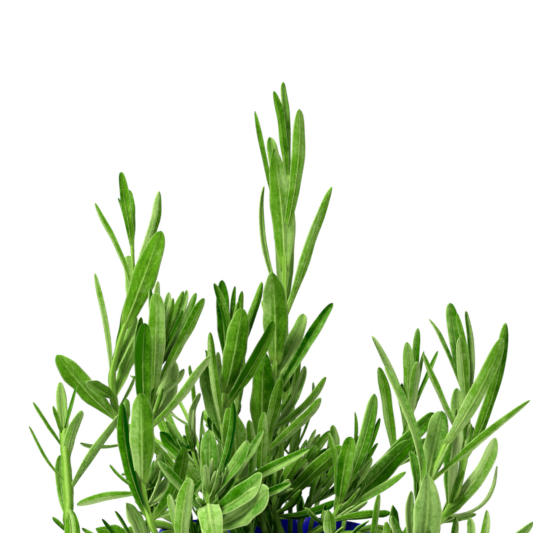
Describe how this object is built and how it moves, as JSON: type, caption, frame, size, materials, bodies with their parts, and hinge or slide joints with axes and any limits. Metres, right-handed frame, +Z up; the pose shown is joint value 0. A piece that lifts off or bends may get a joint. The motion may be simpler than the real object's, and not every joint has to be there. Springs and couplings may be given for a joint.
{
  "type": "potted lavender plant",
  "caption": "Bushy young lavender with upright leafy square stems and narrow grey-green leaves, growing in soil in a small round tapered plastic pot.",
  "frame": {"origin": "centre of the pot's flat underside, on the surface that the pot stands on", "axes": "+Z up along the pot's axis, -Y toward the viewer of the pictured front, +X to that viewer's right"},
  "size_m": [0.2085, 0.1882, 0.2687],
  "materials": {
    "pot_plastic": "gloss",
    "potting_soil": "matte",
    "foliage": "matte"
  },
  "bodies": {
    "root": {"pot": "pot_plastic", "soil": "potting_soil", "shoot_tall_centre": "foliage", "shoot_tall_left": "foliage", "shoot_left_front": "foliage", "shoot_centre": "foliage", "shoot_centre_right": "foliage", "shoot_left_far": "foliage", "shoot_front": "foliage", "shoot_front_left_low": "foliage", "shoot_left_low": "foliage", "shoot_right_centre": "foliage", "shoot_right_inner": "foliage", "shoot_right_middle": "foliage", "shoot_right_back": "foliage", "shoot_right_mid_front": "foliage", "shoot_right_far": "foliage", "shoot_front_right_low": "foliage", "shoot_right_low": "foliage", "shoot_left_inner": "foliage", "shoot_back_1": "foliage", "shoot_back_2": "foliage", "shoot_back_3": "foliage", "shoot_back_4": "foliage", "shoot_back_5": "foliage", "shoot_back_6": "foliage", "shoot_back_7": "foliage", "shoot_back_8": "foliage", "shoot_back_9": "foliage", "shoot_back_10": "foliage"}
  },
  "joints": []
}
